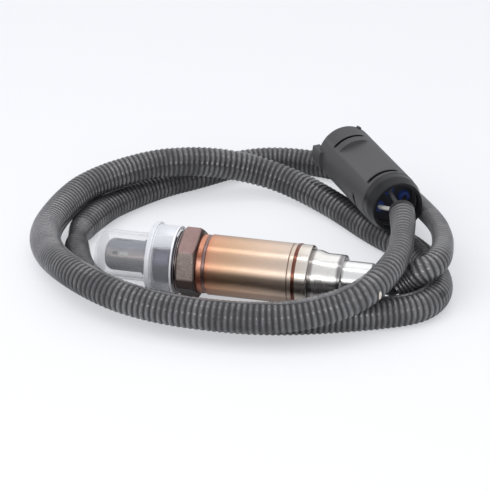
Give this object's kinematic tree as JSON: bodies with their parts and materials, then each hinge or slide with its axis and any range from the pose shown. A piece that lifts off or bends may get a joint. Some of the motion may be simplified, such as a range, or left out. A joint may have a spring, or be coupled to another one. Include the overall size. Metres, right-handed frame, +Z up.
{
  "type": "oxygen sensor",
  "caption": "Heated exhaust oxygen sensor with a threaded hexagon housing, steel sleeves and probe cap, and a ribbed conduit lead looped to a round plug.",
  "frame": {"origin": "on the sensor's axis, in the plane its gasket seals on", "axes": "+X along the sensor's axis from the gasket towards the lead, +Z up as the sensor lies on its side"},
  "size_m": [0.1676, 0.1643, 0.0339],
  "materials": {
    "frosted_cap": "frosted translucent polyethylene",
    "shield_steel": "drawn stainless, dull",
    "zirconia": "white ceramic",
    "heater_ceramic": "grey ceramic",
    "insulator_ceramic": "unglazed off-white ceramic",
    "contact_nickel": "nickel plated",
    "housing_steel": "machined steel, heat tinted brown to copper",
    "gasket_steel": "folded steel strip",
    "sleeve_steel": "satin stainless, heat tinted copper to straw",
    "rear_steel": "bright drawn stainless with a brown weld bead",
    "spring_steel": "hardened steel",
    "grommet_polymer": "bluish white fluoropolymer",
    "wire_white": "white insulation",
    "wire_black": "black insulation",
    "wire_grey": "grey insulation",
    "sheath_rubber": "black sheath",
    "conduit_plastic": "dark grey ribbed polyamide",
    "plug_plastic": "dark grey moulded polyamide",
    "ring_plastic": "near-black moulded polyamide",
    "carrier_plastic": "black moulded polyamide",
    "pin_metal": "plated contact metal",
    "seal_blue": "dark blue silicone"
  },
  "bodies": {
    "root": {"protective_cap": "frosted_cap", "probe_shield": "shield_steel", "sensing_element": "zirconia", "heater_rod": "heater_ceramic", "inner_contact": "contact_nickel", "element_seal_ring": "contact_nickel", "housing_shell": "housing_steel", "seal_gasket": "gasket_steel", "support_ceramic": "insulator_ceramic", "terminal_holder": "insulator_ceramic", "crimp_terminals": "contact_nickel", "disc_spring": "spring_steel", "front_sleeve": "sleeve_steel", "rear_sleeve": "rear_steel", "wires_white": "wire_white", "wire_black": "wire_black", "wire_grey": "wire_grey", "lead_grommet": "grommet_polymer", "lead_sheath": "sheath_rubber", "conduit": "conduit_plastic", "plug_housing": "plug_plastic", "plug_rear_ring": "ring_plastic", "plug_insert": "carrier_plastic", "plug_pins": "pin_metal", "plug_front_seal": "seal_blue", "wire_seals": "seal_blue", "plug_wires_white": "wire_white", "plug_wire_black": "wire_black", "plug_wire_grey": "wire_grey"}
  },
  "joints": []
}
